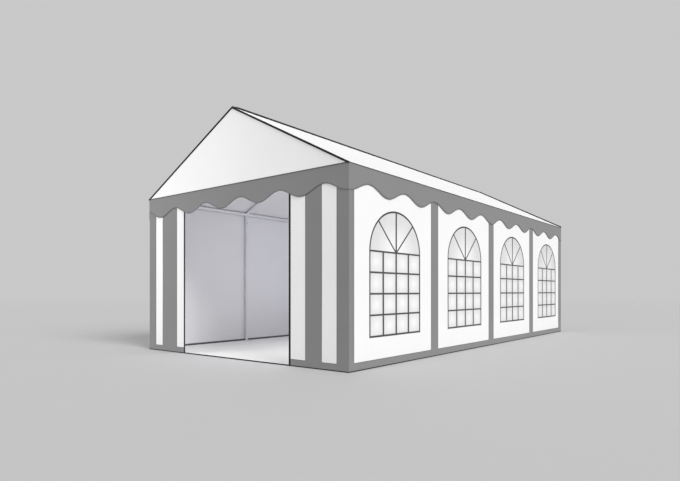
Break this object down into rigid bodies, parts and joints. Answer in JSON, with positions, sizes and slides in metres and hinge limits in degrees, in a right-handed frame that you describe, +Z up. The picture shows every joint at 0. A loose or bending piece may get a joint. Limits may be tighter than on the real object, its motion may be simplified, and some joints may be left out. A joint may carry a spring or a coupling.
{
  "type": "marquee tent",
  "caption": "Party marquee with a ridged white roof, scalloped grey valances, arched windows along one side and an open doorway in one end.",
  "frame": {"origin": "on the ground in the middle of the floor plan, at the bottom centre of the bounding box", "axes": "+X across the marquee, to the right when facing the open doorway from outside; +Y along it from the front (doorway) end to the back; +Z up"},
  "size_m": [4, 8, 3.425],
  "materials": {
    "frame_steel": "powder coated, satin",
    "cover_white": "coated weave, semi-matte",
    "cover_grey": "coated weave, semi-matte",
    "window_film": "soft window film, milky",
    "groundsheet_pale": "woven sheet, matte",
    "dark_trim": "zips, piping and glazing bars, matte"
  },
  "bodies": {
    "root": {"leg_right_1": "frame_steel", "leg_right_2": "frame_steel", "leg_right_3": "frame_steel", "leg_right_4": "frame_steel", "leg_right_5": "frame_steel", "leg_left_1": "frame_steel", "leg_left_2": "frame_steel", "leg_left_3": "frame_steel", "leg_left_4": "frame_steel", "leg_left_5": "frame_steel", "rafter_right_1": "frame_steel", "rafter_right_2": "frame_steel", "rafter_right_3": "frame_steel", "rafter_right_4": "frame_steel", "rafter_right_5": "frame_steel", "rafter_left_1": "frame_steel", "rafter_left_2": "frame_steel", "rafter_left_3": "frame_steel", "rafter_left_4": "frame_steel", "rafter_left_5": "frame_steel", "eave_rail_right": "frame_steel", "eave_rail_left": "frame_steel", "ridge_rail": "frame_steel", "front_tie_beam": "frame_steel", "back_tie_beam": "frame_steel", "roof_cover": "cover_white", "gable_front": "cover_white", "gable_back": "cover_white", "valance_front": "cover_grey", "valance_back": "cover_grey", "valance_right": "cover_grey", "valance_left": "cover_grey", "wall_right_1": "cover_white", "wall_right_2": "cover_white", "wall_right_3": "cover_white", "wall_right_4": "cover_white", "window_right_1": "window_film", "window_right_2": "window_film", "window_right_3": "window_film", "window_right_4": "window_film", "wall_left_1": "cover_white", "wall_left_2": "cover_white", "wall_left_3": "cover_white", "wall_left_4": "cover_white", "front_wall_left": "cover_white", "front_wall_right": "cover_white", "back_wall_left": "cover_white", "back_wall_right": "cover_white", "back_door": "cover_white", "door_roll": "cover_white", "groundsheet": "groundsheet_pale"}
  },
  "joints": []
}
